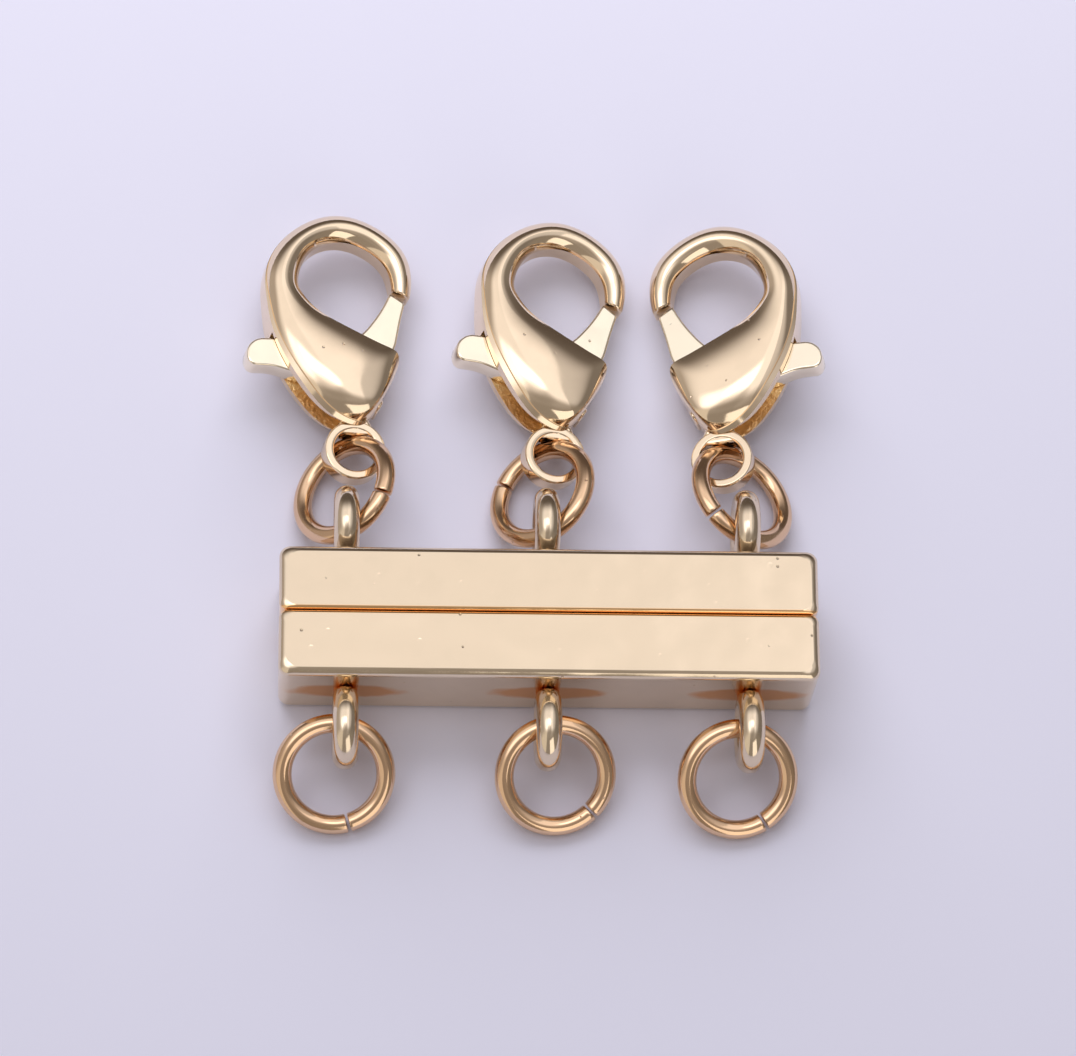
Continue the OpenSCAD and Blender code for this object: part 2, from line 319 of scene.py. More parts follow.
class Shader:
    """A material whose nodes are added by calls."""

    def __init__(self, name, tree=None):
        self.tree = tree
        if not tree:
            self.material = bpy.data.materials.new(name)
            self.material.use_nodes = True
            self.tree = self.material.node_tree
            self.tree.nodes.clear()
            self.place = self.node("ShaderNodeTexCoord", output="Object")

    def node(self, kind, settings=None, values=None, output=0):
        """Adds a node, with its settings first, then the values or links of its sockets."""
        made = self.tree.nodes.new(kind)
        for name, value in (settings or {}).items():
            setattr(made, name, value)
        for key, value in (values or {}).items():
            if isinstance(value, Sock):
                self.tree.links.new(value.socket, made.inputs[key])
            else:
                made.inputs[key].default_value = value
        if output is None:
            return made
        return Sock(self, made.outputs[output])

    def noise(self, scale, detail):
        return self.node(
            "ShaderNodeTexNoise", None, {"Vector": self.place, "Scale": scale, "Detail": detail},
        )

    def mix(self, factor, first, second):
        """A colour between two, which are colours or links."""
        return self.node(
            "ShaderNodeMix", {"data_type": "RGBA"}, {0: factor, 6: first, 7: second}, output=2,
        )

    def bump(self, height, distance, normal=None):
        """Relief of a height that is scaled by a distance in millimetres."""
        values = {"Height": height, "Distance": distance * MM}
        if normal:
            values["Normal"] = normal
        return self.node("ShaderNodeBump", None, values)

    def finish(self, **values):
        """Closes the material with a Principled shader that has these sockets."""
        named = {name.replace("_", " "): value for name, value in values.items()}
        surface = self.node("ShaderNodeBsdfPrincipled", None, named)
        self.node("ShaderNodeOutputMaterial", None, {"Surface": surface}, output=None)
        return self.material


def rgba(colour, factor=1.0):
    return tuple(min(channel * factor, 1.0) for channel in colour) + (1.0,)


def dents(shader, places):
    """Depth of shallow dents, whose x, y and radius are in millimetres."""
    split = shader.node("ShaderNodeSeparateXYZ", None, {"Vector": shader.place}, output=None)
    x, y = (Sock(shader, split.outputs[axis]) * (1 / MM) for axis in "XY")
    depth = 0.0
    for dent_x, dent_y, radius in places:
        across, along = (x - dent_x) * (1 / radius), (y - dent_y) * (1 / radius)
        depth = (1.0 - (across * across + along * along).between(0.0, 1.0)) * radius + depth
    return depth


def plated(name, colour, roughness, wave, grain, painted_light=None, places=()):
    """Polished plating: slow waves from hand polishing, fine grain and a few casting pits."""
    shader = Shader(name)
    waves = shader.noise(WAVE_SCALE, detail=1)
    fine = shader.noise(GRAIN_SCALE, detail=3)
    cloud = shader.noise(CLOUD_SCALE, detail=3).between(0.35, 0.75)
    cells = shader.node(
        "ShaderNodeTexVoronoi", None,
        {"Vector": shader.place, "Scale": PIT_SCALE, "Randomness": 1.0},
    )
    rare = shader.noise(PIT_SCALE, detail=0).between(0.60, 0.64)
    pit = (1.0 - cells.between(0.04, 0.10)) * rare
    height = shader.bump(waves, wave)
    height = shader.bump(fine, grain, normal=height)
    height = shader.bump(1.0 - pit, PIT_DEPTH, normal=height)
    if places:
        height = shader.bump(1.0 - dents(shader, places), PIT_DEPTH, normal=height)
    base = shader.mix(cloud * CLOUD_SHARE, rgba(colour), rgba(colour, CLOUD_SHADE))
    # Painted light: shade and reflections laid over the plating's colour
    if painted_light:
        base = painted_light(shader, base)
    return shader.finish(
        Base_Color=base,
        Metallic=1.0,
        Roughness=cloud * CLOUD_ROUGHNESS + roughness,
        Normal=height,
    )


def painted_shade_and_reflection(shader, base):
    """Painted shade and reflection: orange in the seam between the two bars, and brown round the
    lower loops' roots on the lower bar's front face, which reflects the loops.
    """
    # Colours of the painted shade: orange for the seam between the bars, brown for the painted
    # reflection and shade round the lower loops' roots
    painted_seam_colour, painted_root_colour = (1.0, 0.58, 0.24, 1), (0.70, 0.30, 0.07, 1)
    half_length, half_height, depth = 2.4, 0.8, 0.45
    size = sizes()
    split = shader.node("ShaderNodeSeparateXYZ", None, {"Vector": shader.place}, output=None)
    x, y, z = (Sock(shader, split.outputs[axis]) * (1 / MM) for axis in "XYZ")
    seam = (size["seam_gap"] + size["bar_width"]) / 2
    from_seam = y + seam
    # Painted shade and reflection in the narrow seam where the two bars face each other
    painted_seam_shade = 1.0 - (from_seam * from_seam).between(0.010, 0.045)
    pitch = size["loop_pitch"]
    across = x.math("WRAP", x, pitch / 2, -pitch / 2) * (1 / half_length)
    above = (z - size["loop_height"]) * (1 / half_height)
    uneven = shader.noise(1100, detail=4) * 0.9
    spread = across * across + above * above + uneven
    face = -seam - size["bar_width"]
    front = y.between(face - depth - 0.1, face - depth + 0.1) * (1.0 - y.between(face, face + 0.1))
    # Painted reflection of the loops and painted shade on the lower bar's front face and the stubs
    # round each lower loop's root
    painted_root_shade = (1.0 - spread.between(1.0, 1.7)) * front
    base = shader.mix(painted_root_shade * 0.95, base, painted_root_colour)
    return shader.mix(painted_seam_shade * 0.8, base, painted_seam_colour)


def curve_through(rows, steps):
    """Rows of a smooth curve through the given rows, with steps to each of them."""
    points = np.array(rows, dtype=float)
    count = len(points)
    system = np.zeros((count, count))
    right = np.zeros_like(points)
    system[0, :2] = (2, 1)
    system[-1, -2:] = (1, 2)
    right[0] = 3 * (points[1] - points[0])
    right[-1] = 3 * (points[-1] - points[-2])
    for i in range(1, count - 1):
        system[i, i - 1:i + 2] = (1, 4, 1)
        right[i] = 3 * (points[i + 1] - points[i - 1])
    slopes = np.linalg.solve(system, right)
    result = []
    for i in range(count - 1):
        for k in range(steps):
            t = k / steps
            result.append(
                (2 * t ** 3 - 3 * t ** 2 + 1) * points[i]
                + (t ** 3 - 2 * t ** 2 + t) * slopes[i]
                + (3 * t ** 2 - 2 * t ** 3) * points[i + 1]
                + (t ** 3 - t ** 2) * slopes[i + 1]
            )
    result.append(points[-1])
    return result


def whole(bm):
    return bm.verts[:] + bm.edges[:] + bm.faces[:]


def add_piece(bm, name, body, materials, nodes, place=Matrix(), crease=32):
    """Turns a mesh in millimetres into a finished piece that stands for CAD nodes."""
    bmesh.ops.transform(bm, matrix=Matrix.Scale(MM, 4) @ place, verts=bm.verts)
    bmesh.ops.recalc_face_normals(bm, faces=bm.faces)
    for face in bm.faces:
        face.smooth = True
    for edge in bm.edges:
        edge.smooth = edge.calc_face_angle(0) < radians(crease)
    mesh = bpy.data.meshes.new(name)
    bm.to_mesh(mesh)
    bm.free()
    for material in materials:
        mesh.materials.append(material)
    piece = bpy.data.objects.new(name, mesh)
    bpy.context.scene.collection.objects.link(piece)
    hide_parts(*nodes)
    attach(piece, body)


def joined(*parts):
    """One mesh that holds all the parts."""
    result = bmesh.new()
    for part in parts:
        mesh = bpy.data.meshes.new("part")
        part.to_mesh(mesh)
        part.free()
        result.from_mesh(mesh)
        bpy.data.meshes.remove(mesh)
    return result


def on_half(side, size):
    """Place of a half's seam face, with its outer side towards +Y for the upper one."""
    middle = (size["seam_gap"] + size["bar_width"]) / 2
    return (
        Matrix.Translation((0, side * size["seam_gap"] / 2 - middle, 0))
        @ Matrix.Rotation(0 if side == UPPER else math.pi, 4, "Z")
    )


def at_loop(side, place, size):
    """Place of a loop's centre at table height."""
    middle = (size["seam_gap"] + size["bar_width"]) / 2
    out = size["seam_gap"] / 2 + size["bar_width"] + size["loop_reach"]
    return Matrix.Translation(((place - 1) * size["loop_pitch"], side * out - middle, 0))


def lay_clasp(place, size):
    """Place of a clasp's eye, turned as the clasp lies."""
    x, y, z, turn, pitch, roll, mirrored = CLASPS[place]
    return (
        at_loop(UPPER, place, size)
        @ Matrix.Translation((x, y, z))
        @ Matrix.Rotation(radians(turn), 4, "Z")
        @ Matrix.Rotation(radians(pitch), 4, "X")
        @ Matrix.Rotation(radians(roll), 4, "Y")
        @ Matrix.Diagonal((-1 if mirrored else 1, 1, 1, 1))
    )


def rounded_outline(low, high, radii, steps):
    """Points round a rectangle whose corners, from the low one on, have these radii."""
    corners = (
        (low[0], low[1], 180), (high[0], low[1], 270), (high[0], high[1], 0), (low[0], high[1], 90),
    )
    points = []
    for (x, y, start), radius in zip(corners, radii):
        inward_x = radius if x == low[0] else -radius
        inward_y = radius if y == low[1] else -radius
        for k in range(steps + 1):
            turn = radians(start + 90 * k / steps)
            points.append(Vector((
                x + inward_x + radius * cos(turn), y + inward_y + radius * sin(turn), 0,
            )))
    return points


def bar_mesh(size):
    """Bar with tumbled edges that widen at the corners, and the pocket for its magnet."""
    length, width, height = size["bar_length"], size["bar_width"], size["bar_height"]
    corner_steps, edge_steps = 12, 8
    seam_corner, outer_corner = 0.34, 0.45
    seam_top_corner, outer_top_corner = 0.52, 0.62
    seam_edge, outer_edge, first_turn = 0.18, 0.38, 14
    pocket, pocket_rim = (20.1, 1.5, 2.7), 0.3
    wall = rounded_outline((-length / 2, 0), (length / 2, width),
                           (seam_corner, seam_corner, outer_corner, outer_corner), corner_steps)
    rim = rounded_outline((-length / 2 + outer_edge, seam_edge),
                          (length / 2 - outer_edge, width - outer_edge),
                          (seam_top_corner, seam_top_corner, outer_top_corner,
                           outer_top_corner), corner_steps)
    seam_share = [1 - min(max(point.y / seam_corner, 0), 1) for point in wall]
    drops = [outer_edge + (seam_edge - outer_edge) * share for share in seam_share]
    turns = [
        radians(first_turn + (90 - first_turn) * k / edge_steps) for k in range(edge_steps + 1)
    ]
    levels = [(turn, 1, 0) for turn in turns] + [(turns[-1], 1, FLAT_EDGE)]
    levels += [(turn, -1, flat) for turn, _, flat in reversed(levels)]
    bm = bmesh.new()
    rings = []
    for turn, upward, flat in levels:
        ring = bmesh.ops.create_circle(bm, segments=len(wall))["verts"]
        for vert, outer, inner, drop in zip(ring, wall, rim, drops):
            vert.co = inner.lerp(outer, sin(turn))
            vert.co.z = height / 2 + upward * (height / 2 - flat - drop * (1 - cos(turn)))
        rings.append(list({edge for vert in ring for edge in vert.link_edges}))
    for upper, lower in zip(rings, rings[1:]):
        bmesh.ops.bridge_loops(bm, edges=upper + lower)
    for ring in (rings[0], rings[-1]):
        bmesh.ops.contextual_create(bm, geom=ring)
    bmesh.ops.recalc_face_normals(bm, faces=bm.faces)
    flats = [face for face in bm.faces if abs(face.normal.z) > 0.999]
    bmesh.ops.inset_individual(bm, faces=flats, thickness=FLAT_EDGE)
    seam_face = max(
        (face for face in bm.faces if face.normal.y < -0.99), key=lambda face: face.calc_area(),
    )
    bmesh.ops.inset_region(bm, faces=[seam_face], thickness=pocket_rim,
                           use_even_offset=True)
    for vert in seam_face.verts:
        vert.co.x = math.copysign(pocket[0] / 2, vert.co.x)
        vert.co.z = height / 2 + math.copysign(pocket[2] / 2, vert.co.z - height / 2)
    floor = bmesh.ops.extrude_face_region(bm, geom=[seam_face])
    bmesh.ops.delete(bm, geom=[seam_face], context="FACES_ONLY")
    moved = [item for item in floor["geom"] if isinstance(item, bmesh.types.BMVert)]
    bmesh.ops.translate(bm, vec=(0, pocket[1], 0), verts=moved)
    bmesh.ops.remove_doubles(bm, verts=bm.verts, dist=MERGE)
    return bm


def loop_mesh(size):
    """Upright wire loop on a short soldered stub."""
    radius, wire = 1.2, 1.06
    stub, core, sunk, end = 0.49, 0.2, 0.2, 0.42
    edge_out, edge_in = 0.10, 0.04
    bm = bmesh.new()
    wire_circle = bmesh.ops.create_circle(bm, segments=36, radius=wire / 2)
    bmesh.ops.rotate(bm, cent=(0, 0, 0), matrix=Matrix.Rotation(radians(90), 3, "Y"),
                     verts=bm.verts)
    bmesh.ops.rotate(bm, cent=(0, 0, 0), matrix=Matrix.Rotation(radians(90), 3, "Z"),
                     verts=bm.verts)
    bmesh.ops.translate(bm, vec=(0, 0, radius), verts=wire_circle["verts"])
    bmesh.ops.spin(bm, geom=whole(bm), cent=(0, 0, 0), axis=(1, 0, 0), angle=math.tau, steps=72,
                   use_merge=True)
    bmesh.ops.recalc_face_normals(bm, faces=bm.faces)
    bmesh.ops.translate(bm, vec=(0, size["bar_width"] + size["loop_reach"], size["loop_height"]),
                        verts=bm.verts)
    collar = bmesh.new()
    profile = (
        (core, -sunk), (stub, -sunk), (stub, end - edge_out), (stub - edge_in, end), (core, end),
    )
    rim = [collar.verts.new((x, y, 0)) for x, y in profile]
    for first, second in zip(rim, rim[1:] + rim[:1]):
        collar.edges.new((first, second))
    bmesh.ops.spin(collar, geom=whole(collar), cent=(0, 0, 0), axis=(0, 1, 0), angle=math.tau,
                   steps=48, use_merge=True)
    bmesh.ops.recalc_face_normals(collar, faces=collar.faces)
    bmesh.ops.translate(collar, vec=(0, size["bar_width"], size["loop_height"]),
                        verts=collar.verts)
    return joined(bm, collar)


def ring_mesh(row, size):
    """Split ring with softly cut wire ends."""
    split, cut_round = 3.0, 0.05
    wire = size["ring_wire"] / 2
    radius = size["ring_outer"] / 2 - wire
    bm = bmesh.new()
    bmesh.ops.create_circle(bm, segments=24, radius=wire, cap_ends=True)
    bmesh.ops.rotate(bm, cent=(0, 0, 0), matrix=Matrix.Rotation(radians(90), 3, "X"),
                     verts=bm.verts)
    bmesh.ops.translate(bm, vec=(radius, 0, 0), verts=bm.verts)
    bmesh.ops.spin(bm, geom=whole(bm), cent=(0, 0, 0), axis=(0, 0, 1),
                   angle=radians(360 - split), steps=110)
    cuts = [edge for face in bm.faces if len(face.verts) > 4 for edge in face.edges]
    bmesh.ops.bevel(bm, geom=cuts, offset=cut_round, affect="EDGES", segments=2, profile=0.5,
                    material=-1)
    x, y, z, lean_side, lean_front, turn = row
    place = (
        Matrix.Translation((x, y, z))
        @ Matrix.Rotation(radians(lean_side), 4, "Y")
        @ Matrix.Rotation(radians(lean_front), 4, "X")
        @ Matrix.Rotation(radians(turn + split / 2), 4, "Z")
    )
    bmesh.ops.transform(bm, matrix=place, verts=bm.verts)
    return bm


def section_row(row):
    """Points round one section of a clasp's skin, from the back's middle over the top."""
    inner, outer = Vector((row[0], row[1], 0)), Vector((row[2], row[3], 0))
    half, inner_wall, outer_wall, rim = row[4], row[5], row[6], max(row[7], 0.0)
    reach = (outer - inner).length
    low_back = min(SLOT_HALF, outer_wall - LIP)
    low_mouth = min(SLOT_HALF, inner_wall - MOUTH_LIP)
    lean = WALL_LEAN * outer_wall
    points = [(lean * z / outer_wall, z) for z in (low_back, (low_back + outer_wall) / 2)]
    points.append((lean, outer_wall))
    top, start = outer_wall + rim * RIM_RISE, lean + rim
    points.append((start, top))
    start, top = start + 2 * GROOVE * rim, top - GROOVE * rim
    fuller = MOUTH_FULL * min(12 * rim, 1)
    first = radians(ARC_START)
    for k in range(ARC_STEPS + 1):
        turn = first + (math.pi - 2 * first) * k / ARC_STEPS
        share = (1 - cos(turn) / cos(first)) / 2
        ease = share * share * (3 - 2 * share)
        lift = (sin(turn) - sin(first)) / (1 - sin(first))
        lift += fuller * ease * (1 - abs(2 * share - 1) ** 3 - lift)
        share -= CREST_SHIFT * rim * 4 * share * (1 - share)
        base = top + (inner_wall - top) * ease
        points.append((start + (reach - start) * share, base + (half - base) * lift))
    points.append((reach, low_mouth))
    over = [outer + (inner - outer) * (s / reach) + Vector((0, 0, z)) for s, z in points]
    stand = (outer - inner) * (row[8] / reach)
    under = [
        point + stand * (1 - s / reach) - Vector((0, 0, 2 * z))
        for point, (s, z) in zip(over, points)
    ]
    return over + under[::-1]


def rounded_end(row, before, out):
    """Further sections that close the skin with a soft end."""
    centre = Vector(((row[0] + row[2]) / 2, (row[1] + row[3]) / 2))
    across = Vector((row[2] - row[0], row[3] - row[1]))
    along = Vector((-across.y, across.x)).normalized()
    was = Vector(((before[0] + before[2]) / 2, (before[1] + before[3]) / 2))
    if along.dot(centre - was) < 0:
        along.negate()
    rows = []
    for k in range(1, END_STEPS + 1):
        turn = radians(90) * k / END_STEPS
        shrink = 1 - (1 - cos(turn)) * min(2 * out / across.length, 1.0)
        flatten = 1 - (1 - cos(turn)) * min(out / row[4], 1.0)
        moved = centre + along * out * sin(turn)
        rows.append([
            moved.x + (row[0] - centre.x) * shrink, moved.y + (row[1] - centre.y) * shrink,
            moved.x + (row[2] - centre.x) * shrink, moved.y + (row[3] - centre.y) * shrink,
            row[4] * flatten, row[5] * flatten, row[6] * flatten, 0.0, 0.0,
        ])
    return rows


def skin_mesh():
    """Hook and dome: a grid wrapped round the sections, with the slot through it."""
    rows = curve_through(CLASP_SECTIONS, ROWS_PER_SECTION)
    tip = rounded_end(rows[0], rows[1], TIP_ROUND)
    toe = rounded_end(rows[-1], rows[-2], TOE_ROUND)
    sections = [section_row(row) for row in tip[::-1] + rows + toe]
    around, along = len(sections[0]), len(sections) - 1
    mouth = around // 2 - 1
    bm = bmesh.new()
    bmesh.ops.create_grid(bm, x_segments=around, y_segments=along, size=0.5)
    gone = []
    for face in bm.faces:
        middle = face.calc_center_median()
        i = int((middle.y + 0.5) * along) - len(tip)
        k = int((middle.x + 0.5) * around)
        on_back = k == around - 1 and SLOT_BACK[0] <= i < SLOT_BACK[1]
        in_mouth = k == mouth and SLOT_MOUTH[0] <= i < SLOT_MOUTH[1]
        if on_back or in_mouth:
            gone.append(face)
    cell = {}
    for vert in bm.verts:
        i = round((vert.co.y + 0.5) * along)
        k = round((vert.co.x + 0.5) * around)
        vert.co = sections[i][k % around]
        cell[i - len(tip), k] = vert
    bmesh.ops.delete(bm, geom=gone, context="FACES")
    seam = {
        vert: cell[i, 0] for (i, k), vert in cell.items() if k == around and vert.is_valid
    }
    bmesh.ops.weld_verts(bm, targetmap=seam)
    cut_slot(bm, cell, (0, around - 1), (mouth, mouth + 1))
    bmesh.ops.remove_doubles(bm, verts=bm.verts, dist=MERGE)
    bmesh.ops.holes_fill(bm, edges=bm.edges, sides=0)
    bmesh.ops.recalc_face_normals(bm, faces=bm.faces)
    return bm


def cut_slot(bm, cell, back, mouth):
    """Joins the slot's opening on the back to the one in the mouth by flat walls."""
    rims, chains = [], []
    for back_column, mouth_column in zip(back, mouth):
        first_back, last_back = (cell[row, back_column] for row in SLOT_BACK)
        first_mouth, last_mouth = (cell[row, mouth_column] for row in SLOT_MOUTH)
        roof = bm.edges.new((first_back, first_mouth))
        bends = [bm.verts.new((x, y, last_back.co.z)) for x, y in SLOT_FLOOR]
        chain = [last_back] + bends + [last_mouth]
        floor_edges = [bm.edges.new(pair) for pair in zip(chain, chain[1:])]
        rim = [roof]
        for column, rows in ((back_column, SLOT_BACK), (mouth_column, SLOT_MOUTH)):
            rim += [
                bm.edges.get((cell[i, column], cell[i + 1, column]))
                for i in range(rows[0], rows[1])
            ]
        rims.append(rim + floor_edges)
        chains += floor_edges
    roof_verts = [
        cell[SLOT_BACK[0], back[0]], cell[SLOT_BACK[0], back[1]],
        cell[SLOT_MOUTH[0], mouth[1]], cell[SLOT_MOUTH[0], mouth[0]],
    ]
    skin = set(bm.faces)
    for rim in rims:
        bmesh.ops.contextual_create(bm, geom=rim)
    bmesh.ops.contextual_create(bm, geom=roof_verts)
    bmesh.ops.bridge_loops(bm, edges=chains)
    for face in bm.faces:
        if face not in skin:
            face.material_index = 1


def eye_mesh(size):
    """Flat ring with rounded edges, round the clasp's foot."""
    edge = 0.11
    low, high = size["eye_hole"] / 2, size["eye_outer"] / 2
    bm = bmesh.new()
    bmesh.ops.create_grid(bm, x_segments=1, y_segments=1, size=0.5)
    bmesh.ops.scale(bm, vec=(high - low, EYE_THICKNESS, 1), verts=bm.verts)
    bmesh.ops.bevel(bm, geom=bm.verts[:], offset=edge, affect="VERTICES", segments=5,
                    profile=0.5, material=-1)
    bmesh.ops.translate(bm, vec=((high + low) / 2, 0, 0), verts=bm.verts)
    bmesh.ops.rotate(bm, cent=(0, 0, 0), matrix=Matrix.Rotation(radians(90), 3, "X"),
                     verts=bm.verts)
    bmesh.ops.delete(bm, geom=bm.faces[:], context="FACES_ONLY")
    bmesh.ops.spin(bm, geom=whole(bm), cent=(0, 0, 0), axis=(0, 0, 1), angle=math.tau, steps=64,
                   use_merge=True)
    bmesh.ops.recalc_face_normals(bm, faces=bm.faces)
    return bm


def neck_mesh():
    """Flat neck from the eye into the dome, with soft edges."""
    inset, edge = 0.04, 0.14
    thickness = EYE_THICKNESS - 2 * inset
    outline = [(x, y, 0.0) for x, y in NECK_TAPER]
    outline += [(-x, y, 0.0) for x, y in reversed(NECK_TAPER)]
    bm = plate_mesh(outline, thickness, edge)
    for vert in bm.verts:
        vert.co.z *= 1 + NECK_FLARE * min(max(vert.co.y - NECK_FLARE_START, 0), 1) ** 2
    return bm


def plate_mesh(outline, thickness, edge):
    """Upright plate of an outline of x, y and corner rounding, with soft edges."""
    bm = bmesh.new()
    face = bm.faces.new([bm.verts.new((x, y, -thickness / 2)) for x, y, _ in outline])
    for vert, (_, _, rounding) in zip(face.verts[:], outline):
        if rounding:
            bmesh.ops.bevel(bm, geom=[vert], offset=rounding, affect="VERTICES", segments=6,
                            profile=0.5, material=-1)
    raised = bmesh.ops.extrude_face_region(bm, geom=bm.faces[:])
    moved = [item for item in raised["geom"] if isinstance(item, bmesh.types.BMVert)]
    bmesh.ops.translate(bm, vec=(0, 0, thickness), verts=moved)
    bmesh.ops.recalc_face_normals(bm, faces=bm.faces)
    rims = [e for e in bm.edges if abs(e.verts[0].co.z - e.verts[1].co.z) < thickness / 2]
    bmesh.ops.bevel(bm, geom=rims, offset=edge, affect="EDGES", segments=3, profile=0.5,
                    material=-1)
    flats = [face for face in bm.faces if abs(face.normal.z) > 0.999]
    bmesh.ops.inset_individual(bm, faces=flats, thickness=FLAT_EDGE)
    return bm


class OBJECT_OT_clasp_bars(bpy.types.Operator):
    """Makes the two bars with their soldered loops"""

    bl_idname = "object.clasp_bars"
    bl_label = "Bars and loops"

    def execute(self, context):
        size, colour = sizes(), colours()
        # The bars' gold carries painted shade and reflections in the seam and round the lower
        # loops' roots
        gold = plated("bar_gold_plating", colour.bar, roughness=0.11, wave=0.05, grain=0.0009,
                      painted_light=painted_shade_and_reflection, places=BAR_DENTS)
        for side, name, body in ((UPPER, "upper_bar", "upper_half"),
                                 (LOWER, "lower_bar", "lower_half")):
            parts = [bar_mesh(size)]
            for place in range(len(SIDES)):
                loop = loop_mesh(size)
                shift = ((place - 1) * size["loop_pitch"], 0, 0)
                bmesh.ops.translate(loop, vec=shift, verts=loop.verts)
                parts.append(loop)
            add_piece(joined(*parts), name + "_with_loops", body, [gold], [name],
                      on_half(side, size), crease=12)
        return {"FINISHED"}


class OBJECT_OT_clasp_rings(bpy.types.Operator):
    """Makes the six split rings"""

    bl_idname = "object.clasp_rings"
    bl_label = "Split rings"

    def execute(self, context):
        size, colour = sizes(), colours()
        gold = plated("ring_gold_plating", colour.ring, roughness=0.10, wave=0.02, grain=0.001)
        for place, side_name in enumerate(SIDES):
            for kind, side, rows, body in (("link", UPPER, LINK_RINGS, "upper_half"),
                                           ("end", LOWER, END_RINGS, "lower_half")):
                add_piece(ring_mesh(rows[place], size), f"{kind}_ring_{side_name}_split", body,
                          [gold], [f"{kind}_ring_{side_name}"],
                          at_loop(side, place, size))
        return {"FINISHED"}


class OBJECT_OT_clasp_bodies(bpy.types.Operator):
    """Makes the three castings: hook, dome, neck and eye"""

    bl_idname = "object.clasp_bodies"
    bl_label = "Clasp bodies"

    def execute(self, context):
        size, colour = sizes(), colours()
        gold = plated("clasp_gold_plating", colour.clasp, roughness=0.07, wave=0.012,
                      grain=0.0004)
        # The slots' plating is rougher than the bodies', and its colour is painted brighter against
        # the shade in the slots
        inside = plated("clasp_slot_plating_painted_bright", colour.slot, roughness=0.34, wave=0.05, grain=0.05)
        for place, side_name in enumerate(SIDES):
            casting = joined(skin_mesh(), eye_mesh(size), neck_mesh())
            add_piece(casting, f"clasp_casting_{side_name}", "upper_half",
                      [gold, inside], [f"clasp_body_{side_name}"], lay_clasp(place, size),
                      crease=12)
        return {"FINISHED"}


class OBJECT_OT_clasp_levers(bpy.types.Operator):
    """Makes the three levers with their thumb tabs"""

    bl_idname = "object.clasp_levers"
    bl_label = "Levers"

    def execute(self, context):
        size, colour = sizes(), colours()
        gold = plated("lever_gold_plating", colour.lever, roughness=0.12, wave=0.008,
                      grain=0.0006)
        for place, side_name in enumerate(SIDES):
            add_piece(plate_mesh(LEVER_OUTLINE, size["lever_thickness"], LEVER_EDGE),
                      f"lever_{side_name}", f"lever_{side_name}", [gold],
                      [f"clasp_lever_{side_name}"], lay_clasp(place, size))
        return {"FINISHED"}


class OBJECT_OT_clasp_inner_parts(bpy.types.Operator):
    """Gives the magnets and the pivot pins their finish"""

    bl_idname = "object.clasp_inner_parts"
    bl_label = "Magnets and pins"

    def execute(self, context):
        colour = colours()
        finishes = {
            "magnet": plated("magnet_nickel_plating", colour.magnet, roughness=0.22, wave=0.004,
                             grain=0.0008),
            "pin": plated("pin_gold_plating", colour.ring, roughness=0.2, wave=0.004,
                          grain=0.0008),
        }
        for name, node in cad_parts.items():
            for kind, finish in finishes.items():
                if kind in name:
                    for part_slot in node.material_slots:
                        part_slot.material = finish
        return {"FINISHED"}


def area_light(name, place, size, power, colour):
    """Softbox at a place, turned to the clasp, with its size in metres and power in watts."""
    data = bpy.data.lights.new(name, "AREA")
    data.shape = "RECTANGLE"
    data.size, data.size_y = size
    data.energy = power
    data.color = colour
    light = bpy.data.objects.new(name, data)
    turn = (-Vector(place)).to_track_quat("-Z", "Y").to_matrix().to_4x4()
    light.matrix_world = Matrix.Translation(place) @ turn
    bpy.context.scene.collection.objects.link(light)
    return light


class OBJECT_OT_clasp_stage(bpy.types.Operator):
    """Adds the floor, the lights and the camera"""

    bl_idname = "object.clasp_stage"
    bl_label = "Stage"

    def execute(self, context):
        colour = colours()
        bm = bmesh.new()
        bmesh.ops.create_grid(bm, x_segments=1, y_segments=1, size=FLOOR_HALF)
        mesh = bpy.data.meshes.new("floor")
        bm.to_mesh(mesh)
        bm.free()
        floor = bpy.data.objects.new("floor", mesh)
        context.scene.collection.objects.link(floor)
        paper = Shader("floor_paper").finish(Base_Color=rgba(colour.floor), Roughness=0.85)
        mesh.materials.append(paper)

        light_studio(context.scene)
        place_camera(context.scene)
        context.scene.view_settings.view_transform = "Standard"
        return {"FINISHED"}


def towards(shader, way, axis):
    """How closely a direction points along an axis, from 1 down to -1."""
    return shader.node(
        "ShaderNodeVectorMath", {"operation": "DOT_PRODUCT"},
        {0: way, 1: Vector(axis).normalized()}, output="Value",
    )


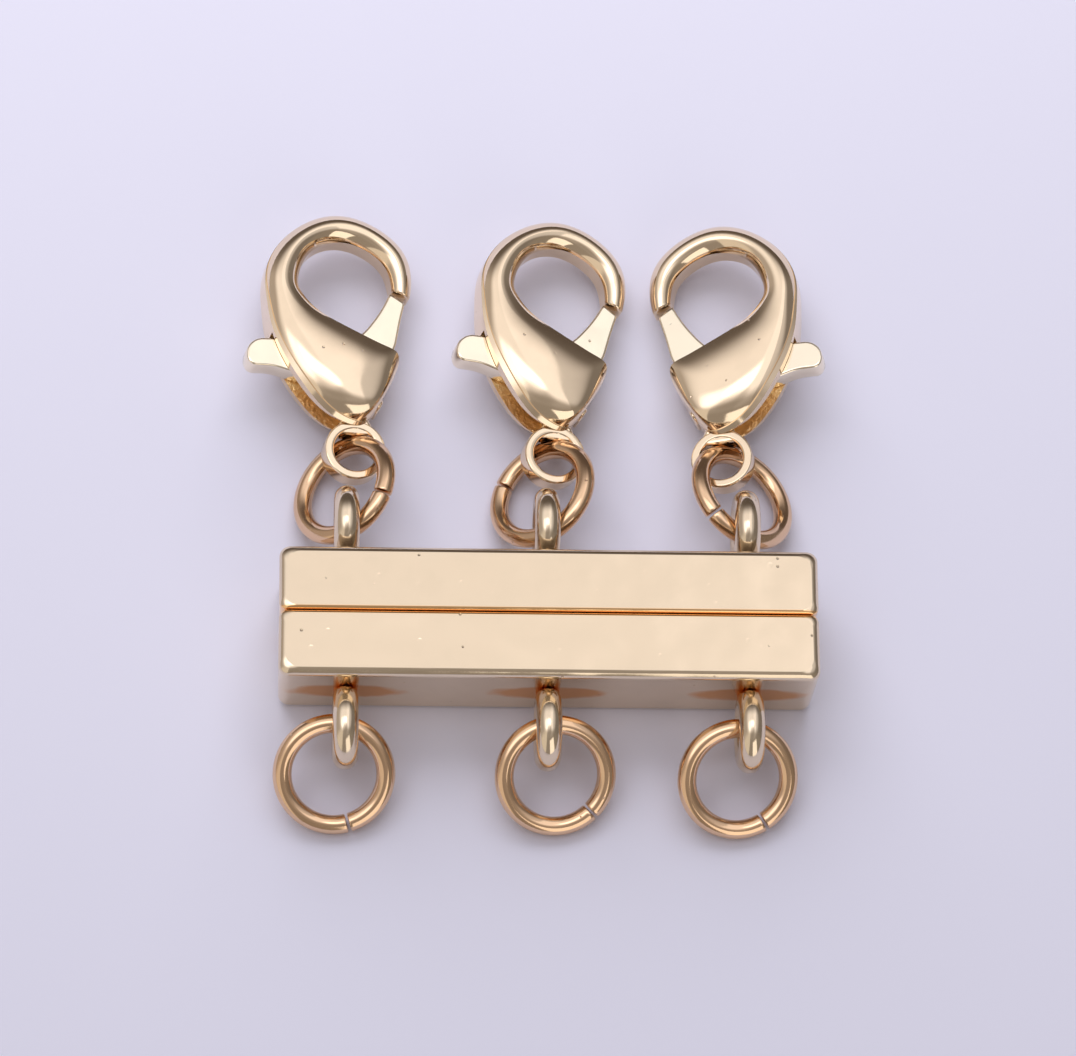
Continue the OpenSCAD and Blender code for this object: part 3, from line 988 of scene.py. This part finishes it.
def light_studio(scene):
    """White tent with bright boxes overhead, a dim room behind and a window in front."""
    world = bpy.data.worlds.new("studio")
    world.use_nodes = True
    world.node_tree.nodes.clear()
    shader = Shader("studio_light", tree=world.node_tree)
    way = shader.node("ShaderNodeTexCoord", output="Generated")
    split = shader.node("ShaderNodeSeparateXYZ", None, {"Vector": way}, output=None)
    across, back = (Sock(shader, split.outputs[axis]) for axis in "XY")
    overhead = towards(shader, way, (-0.05, 0.18, 0.98)).between(0.50, 0.87)
    right_box = overhead * across.between(0.07, 0.14)
    before = 1.0 - back.between(0.12, 0.26)
    left_box = towards(shader, way, (-0.30, -0.02, 0.95)).between(0.88, 0.97) * before
    hot = towards(shader, way, (-0.06, 0.06, 0.99)).between(0.955, 0.985) * before
    card = across.between(0.465, 0.48)
    camera_side = towards(shader, way, (-0.05, -0.34, 0.94)).between(0.93, 0.985)
    front = (0.0 - back).between(0.15, 0.45)
    beside = across.between(-0.42, -0.38)
    room = back.between(0.45, 0.90)
    for_floor = shader.node("ShaderNodeLightPath", output="Is Diffuse Ray")
    # Zones over the walls, each laid on the ones before it
    zones = (
        (overhead, (1.09, 1.06, 1.07, 1)),
        (right_box, (1.22, 1.19, 1.21, 1)),
        (left_box, (1.90, 1.85, 1.88, 1)),
        (hot, (2.50, 2.45, 2.50, 1)),
        (card * 0.40, (0, 0, 0, 1)),
        (camera_side * 0.55, (0.3, 0.27, 0.25, 1)),
        (front * (1.0 - beside), (0.78, 0.72, 0.64, 1)),
        (front * beside * 0.8, (0.30, 0.27, 0.24, 1)),
        (room * 0.88, (0.09, 0.07, 0.06, 1)),
        (for_floor * 0.50, (0, 0, 0, 1)),
    )
    tent = shader.mix(across.between(-0.6, 0.3), (0.48, 0.44, 0.41, 1), (0.38, 0.35, 0.33, 1))
    for share, colour in zones:
        tent = shader.mix(share, tent, colour)
    light = shader.node("ShaderNodeBackground", None, {"Color": tent})
    shader.node("ShaderNodeOutputWorld", None, {"Surface": light}, output=None)
    scene.world = world
    area_light("front_window", (0.16, -0.38, 0.16), size=(0.26, 0.34), power=0.28,
               colour=(1.0, 0.96, 0.90))
    floor_light = area_light("floor_light", (-0.02, 0.13, 0.10), size=(0.18, 0.18), power=0.24,
                             colour=(1.0, 0.97, 1.0))
    floor_light.visible_glossy = False


def place_camera(scene):
    """Camera that looks down on the clasp from the front, a little from the left."""
    elevation, azimuth, roll = radians(70), radians(-8.808), radians(8.974)
    aim = Vector((-0.3444, 2.986, 2.254)) * MM
    distance = 205.73 * MM
    back = Vector((sin(azimuth) * cos(elevation), -cos(azimuth) * cos(elevation), sin(elevation)))
    level = Vector((cos(azimuth), sin(azimuth), 0))
    rise = back.cross(level)
    right = level * cos(roll) + rise * sin(roll)
    up = rise * cos(roll) - level * sin(roll)
    data = bpy.data.cameras.new("camera")
    data.sensor_width = 36
    data.sensor_fit = "HORIZONTAL"
    data.lens = 166.58
    data.clip_start = 0.01
    camera = bpy.data.objects.new("camera", data)
    turn = Matrix((right, up, back)).transposed().to_4x4()
    camera.matrix_world = Matrix.Translation(aim + back * distance) @ turn
    scene.collection.objects.link(camera)
    scene.camera = camera


class VIEW3D_PT_layering_clasp(bpy.types.Panel):
    """Sizes, colours and steps of the layering clasp"""

    bl_label = "Layering clasp"
    bl_idname = "VIEW3D_PT_layering_clasp"
    bl_space_type = "VIEW_3D"
    bl_region_type = "UI"
    bl_category = "Layering Clasp"

    def draw(self, context):
        layout = self.layout
        for group in (context.scene.layering_clasp_sizes, context.scene.layering_clasp_colours):
            box = layout.box()
            for name in group.__annotations__:
                box.prop(group, name)
        for operator in OPERATORS:
            layout.operator(operator.bl_idname)


OPERATORS = (
    OBJECT_OT_clasp_bars,
    OBJECT_OT_clasp_rings,
    OBJECT_OT_clasp_bodies,
    OBJECT_OT_clasp_levers,
    OBJECT_OT_clasp_inner_parts,
    OBJECT_OT_clasp_stage,
)
CLASSES = (ClaspSizes, ClaspColours) + OPERATORS + (VIEW3D_PT_layering_clasp,)


def register():
    for item in CLASSES:
        bpy.utils.register_class(item)
    bpy.types.Scene.layering_clasp_sizes = PointerProperty(type=ClaspSizes)
    bpy.types.Scene.layering_clasp_colours = PointerProperty(type=ClaspColours)


def unregister():
    del bpy.types.Scene.layering_clasp_colours
    del bpy.types.Scene.layering_clasp_sizes
    for item in reversed(CLASSES):
        bpy.utils.unregister_class(item)


def main():
    register()
    bpy.ops.object.clasp_bars()
    bpy.ops.object.clasp_rings()
    bpy.ops.object.clasp_bodies()
    bpy.ops.object.clasp_levers()
    bpy.ops.object.clasp_inner_parts()
    bpy.ops.object.clasp_stage()


if __name__ == "__main__":
    main()
